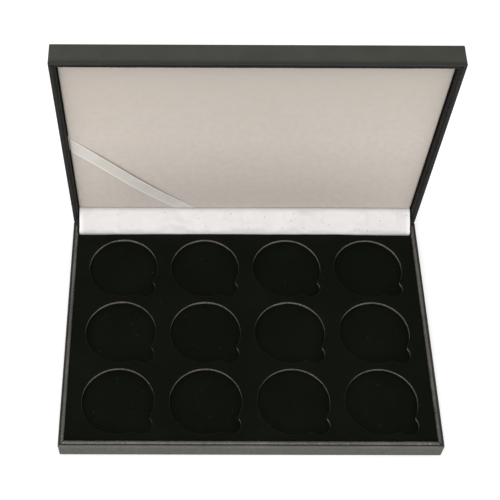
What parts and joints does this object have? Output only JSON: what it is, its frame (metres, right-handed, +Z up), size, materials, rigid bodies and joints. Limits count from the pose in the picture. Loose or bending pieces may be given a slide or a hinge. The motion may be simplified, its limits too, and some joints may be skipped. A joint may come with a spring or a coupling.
{
  "type": "coin presentation case",
  "caption": "Hinged leatherette presentation case, lid open: velvet tray with round capsule recesses and finger notches, padded light lining, satin hinge strip and ribbon.",
  "frame": {"origin": "centre of the underside of the base", "axes": "+X along the hinge to the right of someone facing the open case, +Y from the front edge to the hinge, +Z up"},
  "size_m": [0.24, 0.1849, 0.1846],
  "materials": {
    "black_leatherette": "fine-grained semi-matt black imitation leather",
    "grey_board": "uncoated grey-brown pressed board",
    "black_velvet": "short-pile black velvet",
    "foam": "open-cell foam",
    "flocked_lining": "warm off-white flocked suede cloth",
    "white_satin": "white satin",
    "ribbon_satin": "off-white satin ribbon",
    "black_paper": "matt black paper",
    "hinge_steel": "plated spring steel"
  },
  "bodies": {
    "base": {"base_bottom_board": "grey_board", "base_front_board": "grey_board", "base_rear_board": "grey_board", "base_left_board": "grey_board", "base_right_board": "grey_board", "base_leatherette_wrap": "black_leatherette", "base_front_collar": "black_leatherette", "base_rear_collar": "black_leatherette", "base_left_collar": "black_leatherette", "base_right_collar": "black_leatherette", "base_underside_sheet": "black_paper", "tray_velvet": "black_velvet", "tray_board": "grey_board", "tray_floor_velvet": "black_velvet", "tray_floor_board": "grey_board", "tray_foam_underlay": "foam", "hinge_cover_strip": "white_satin", "hinge_base_leaf_left": "hinge_steel", "hinge_pin_left": "hinge_steel", "hinge_spring_left": "hinge_steel", "hinge_base_tack_left_a": "hinge_steel", "hinge_base_tack_left_b": "hinge_steel", "hinge_base_leaf_right": "hinge_steel", "hinge_pin_right": "hinge_steel", "hinge_spring_right": "hinge_steel", "hinge_base_tack_right_a": "hinge_steel", "hinge_base_tack_right_b": "hinge_steel"},
    "lid": {"lid_top_board": "grey_board", "lid_front_board": "grey_board", "lid_rear_board": "grey_board", "lid_left_board": "grey_board", "lid_right_board": "grey_board", "lid_leatherette_wrap": "black_leatherette", "lid_front_collar": "black_leatherette", "lid_rear_collar": "black_leatherette", "lid_left_collar": "black_leatherette", "lid_right_collar": "black_leatherette", "lid_pad_board": "grey_board", "lid_pad_foam": "foam", "lid_lining": "flocked_lining", "lid_ribbon": "ribbon_satin", "hinge_lid_leaf_left": "hinge_steel", "hinge_lid_tack_left_a": "hinge_steel", "hinge_lid_tack_left_b": "hinge_steel", "hinge_lid_leaf_right": "hinge_steel", "hinge_lid_tack_right_a": "hinge_steel", "hinge_lid_tack_right_b": "hinge_steel"}
  },
  "joints": [
    {"name": "lid_hinge", "type": "hinge", "parent": "base", "child": "lid", "pos_m": [0, 0.085, 0.014], "axis": [1, 0, 0], "range_deg": [0, 86.5], "deforming": ["hinge_cover_strip", "hinge_spring_left", "hinge_spring_right"]}
  ]
}
